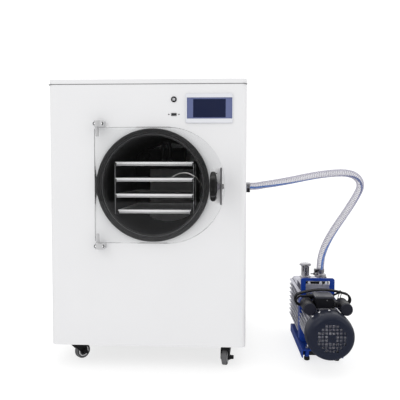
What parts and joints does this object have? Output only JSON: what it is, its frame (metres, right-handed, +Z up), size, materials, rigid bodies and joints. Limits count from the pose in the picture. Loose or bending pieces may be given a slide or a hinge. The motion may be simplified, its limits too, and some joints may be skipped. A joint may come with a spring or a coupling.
{
  "type": "freeze dryer",
  "caption": "Cabinet freeze dryer on casters: shelves in a vacuum chamber behind a clear hinged door, joined by a clear hose to a vacuum pump beside it.",
  "frame": {"origin": "on the floor, under the middle of the cabinet and pump taken together", "axes": "+Z up, the door faces -Y, and the pump stands on the +X side"},
  "size_m": [0.997, 0.7676, 0.868],
  "materials": {
    "cabinet_paint": "satin white powder coat",
    "zinc_steel": "bare zinc plated sheet",
    "stainless_steel": "brushed",
    "chrome_fittings": "polished",
    "shelf_aluminium": "satin",
    "pump_aluminium": "cast, silver grey",
    "pump_blue_paint": "gloss royal blue",
    "clear_acrylic": "polished, clear",
    "clear_hose": "clear, with a blue stripe",
    "black_rubber": "matt black",
    "caster_tread": "matt dark grey",
    "black_plastic": "black",
    "black_steel": "gloss black",
    "copper_tube": "bare copper",
    "display_face": "slate blue face round a dark glass",
    "probe_insulation": "off-white sleeve"
  },
  "bodies": {
    "machine": {"base_frame": "zinc_steel", "front_panel": "cabinet_paint", "side_panel_left": "cabinet_paint", "side_panel_right": "cabinet_paint", "rear_panel": "cabinet_paint", "top_lid": "cabinet_paint", "vacuum_drum": "stainless_steel", "door_gasket": "black_rubber", "drum_cradle": "zinc_steel", "cold_coil": "copper_tube", "shelf_rack": "stainless_steel", "shelf_1": "shelf_aluminium", "shelf_2": "shelf_aluminium", "shelf_3": "shelf_aluminium", "shelf_4": "shelf_aluminium", "heater_conduits": "zinc_steel", "probe_cable": "probe_insulation", "vacuum_port": "stainless_steel", "compressor": "black_steel", "condenser": "shelf_aluminium", "control_box": "zinc_steel", "display_panel": "display_face", "usb_socket": "zinc_steel", "switch_body": "black_plastic", "power_inlet": "black_plastic", "hinge_bracket_upper": "chrome_fittings", "hinge_bracket_lower": "chrome_fittings", "pump_base": "pump_blue_paint", "pump_foot_1": "black_rubber", "pump_foot_2": "black_rubber", "pump_foot_3": "black_rubber", "pump_foot_4": "black_rubber", "pump_bracket": "pump_blue_paint", "oil_case": "pump_aluminium", "motor_housing": "pump_aluminium", "motor_fan_cover": "black_plastic", "terminal_box": "black_plastic", "capacitor_left": "black_plastic", "capacitor_right": "black_plastic", "inlet_port": "chrome_fittings", "exhaust_port": "chrome_fittings", "vacuum_hose": "clear_hose", "power_cord": "black_rubber", "power_plug": "black_rubber"},
    "door": {"door_plate": "clear_acrylic", "handle_bracket": "chrome_fittings"},
    "star_knob": {"star_knob": "black_plastic"},
    "switch_rocker": {"switch_rocker": "black_plastic"},
    "condenser_fan": {"condenser_fan": "black_plastic"},
    "motor_fan": {"motor_fan": "black_plastic"},
    "caster_fork_front_left": {"caster_fork_front_left": "black_plastic"},
    "caster_wheel_front_left": {"caster_wheel_front_left": "caster_tread"},
    "brake_lever_front_left": {"brake_lever_front_left": "black_plastic"},
    "caster_fork_front_right": {"caster_fork_front_right": "black_plastic"},
    "caster_wheel_front_right": {"caster_wheel_front_right": "caster_tread"},
    "brake_lever_front_right": {"brake_lever_front_right": "black_plastic"},
    "caster_fork_rear_left": {"caster_fork_rear_left": "black_plastic"},
    "caster_wheel_rear_left": {"caster_wheel_rear_left": "caster_tread"},
    "caster_fork_rear_right": {"caster_fork_rear_right": "black_plastic"},
    "caster_wheel_rear_right": {"caster_wheel_rear_right": "caster_tread"}
  },
  "joints": [
    {"name": "door_hinge", "type": "hinge", "parent": "machine", "child": "door", "pos_m": [-0.30112, -0.2838, 0.555], "axis": [0, 0, -1], "range_deg": [0, 110]},
    {"name": "star_knob_turn", "type": "hinge", "parent": "door", "child": "star_knob", "pos_m": [0.03938, -0.3418, 0.554], "axis": [1, 0, 0], "continuous": true},
    {"name": "switch_rock", "type": "hinge", "parent": "machine", "child": "switch_rocker", "pos_m": [-0.07912, -0.2595, 0.808], "axis": [1, 0, 0], "range_deg": [0, 14]},
    {"name": "condenser_fan_spin", "type": "hinge", "parent": "machine", "child": "condenser_fan", "pos_m": [-0.01912, 0.2695, 0.1858], "axis": [0, 1, 0], "continuous": true},
    {"name": "motor_fan_spin", "type": "hinge", "parent": "machine", "child": "motor_fan", "pos_m": [0.38088, -0.2905, 0.117], "axis": [0, 1, 0], "continuous": true},
    {"name": "caster_swivel_front_left", "type": "hinge", "parent": "machine", "child": "caster_fork_front_left", "pos_m": [-0.39712, -0.1955, 0.06], "axis": [0, 0, 1], "continuous": true},
    {"name": "caster_roll_front_left", "type": "hinge", "parent": "caster_fork_front_left", "child": "caster_wheel_front_left", "pos_m": [-0.38156, -0.17994, 0.024], "axis": [0.7071, -0.7071, 0], "continuous": true},
    {"name": "brake_press_front_left", "type": "hinge", "parent": "caster_fork_front_left", "child": "brake_lever_front_left", "pos_m": [-0.38156, -0.17994, 0.024], "axis": [0.7071, -0.7071, 0], "range_deg": [0, 35]},
    {"name": "caster_swivel_front_right", "type": "hinge", "parent": "machine", "child": "caster_fork_front_right", "pos_m": [0.07888, -0.1955, 0.06], "axis": [0, 0, 1], "continuous": true},
    {"name": "caster_roll_front_right", "type": "hinge", "parent": "caster_fork_front_right", "child": "caster_wheel_front_right", "pos_m": [0.07506, -0.21717, 0.024], "axis": [-0.9848, 0.1736, 0], "continuous": true},
    {"name": "brake_press_front_right", "type": "hinge", "parent": "caster_fork_front_right", "child": "brake_lever_front_right", "pos_m": [0.07506, -0.21717, 0.024], "axis": [-0.9848, 0.1736, 0], "range_deg": [0, 35]},
    {"name": "caster_swivel_rear_left", "type": "hinge", "parent": "machine", "child": "caster_fork_rear_left", "pos_m": [-0.39712, 0.3165, 0.06], "axis": [0, 0, 1], "continuous": true},
    {"name": "caster_roll_rear_left", "type": "hinge", "parent": "caster_fork_rear_left", "child": "caster_wheel_rear_left", "pos_m": [-0.40464, 0.33717, 0.024], "axis": [0.9397, 0.342, 0], "continuous": true},
    {"name": "caster_swivel_rear_right", "type": "hinge", "parent": "machine", "child": "caster_fork_rear_right", "pos_m": [0.07888, 0.3165, 0.06], "axis": [0, 0, 1], "continuous": true},
    {"name": "caster_roll_rear_right", "type": "hinge", "parent": "caster_fork_rear_right", "child": "caster_wheel_rear_right", "pos_m": [0.08457, 0.33775, 0.024], "axis": [0.9659, -0.2588, 0], "continuous": true}
  ]
}
